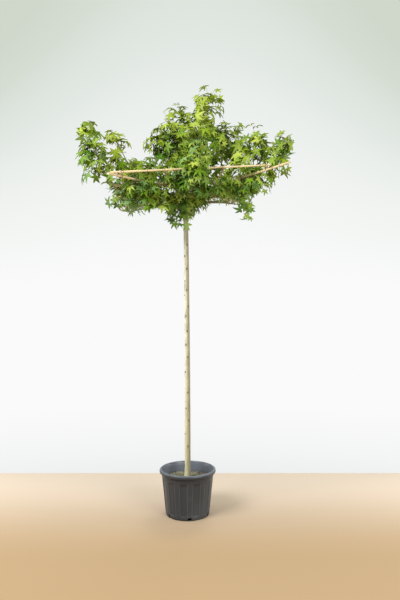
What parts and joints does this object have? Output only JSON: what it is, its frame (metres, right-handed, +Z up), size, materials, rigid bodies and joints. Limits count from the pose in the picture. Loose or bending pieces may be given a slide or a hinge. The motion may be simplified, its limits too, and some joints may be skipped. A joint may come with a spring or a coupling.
{
  "type": "roof-trained sweetgum tree in a nursery pot",
  "caption": "Standard sweetgum with a slim clear stem in a ribbed nursery pot, its head of boughs and star-shaped leaves trained flat over a square bamboo cane frame with upright shoots above",
  "frame": {"origin": "Centre of the pot's flat underside, on the ground", "axes": "+Z up along the trunk, -Y towards the front, +X to the right seen from the front"},
  "size_m": [1.802, 1.4943, 3.7906],
  "materials": {
    "pot_plastic": "moulded, satin",
    "compost": "crumbly, damp",
    "bark": "young bark, slightly rough",
    "bamboo": "dry, satin",
    "leaf": "satin leaf"
  },
  "bodies": {
    "root": {"pot": "pot_plastic", "soil": "compost", "trunk": "bark", "cross_cane_1": "bamboo", "cross_cane_2": "bamboo", "cross_cane_3": "bamboo", "cross_cane_4": "bamboo", "side_cane_1": "bamboo", "side_cane_2": "bamboo", "side_cane_3": "bamboo", "side_cane_4": "bamboo", "diagonal_cane_1": "bamboo", "diagonal_cane_2": "bamboo", "roof_foliage_1": "leaf", "roof_bough_1": "bark", "roof_foliage_2": "leaf", "roof_bough_2": "bark", "roof_foliage_3": "leaf", "roof_bough_3": "bark", "roof_foliage_4": "leaf", "roof_bough_4": "bark", "roof_foliage_5": "leaf", "roof_bough_5": "bark", "roof_foliage_6": "leaf", "roof_bough_6": "bark", "roof_foliage_7": "leaf", "roof_bough_7": "bark", "roof_foliage_8": "leaf", "roof_bough_8": "bark", "spire_foliage_1": "leaf", "spire_bough_1": "bark", "spire_foliage_2": "leaf", "spire_bough_2": "bark", "spire_foliage_3": "leaf", "spire_bough_3": "bark", "spire_foliage_4": "leaf", "spire_bough_4": "bark", "leader_foliage": "leaf", "leader_bough": "bark", "left_shoot_foliage": "leaf", "left_shoot_bough": "bark", "left_inner_shoot_foliage": "leaf", "left_inner_shoot_bough": "bark", "right_inner_shoot_foliage": "leaf", "right_inner_shoot_bough": "bark", "right_shoot_foliage": "leaf", "right_shoot_bough": "bark", "back_left_shoot_foliage": "leaf", "back_left_shoot_bough": "bark", "back_right_shoot_foliage": "leaf", "back_right_shoot_bough": "bark", "head_foliage_front": "leaf", "head_foliage_back": "leaf"}
  },
  "joints": []
}
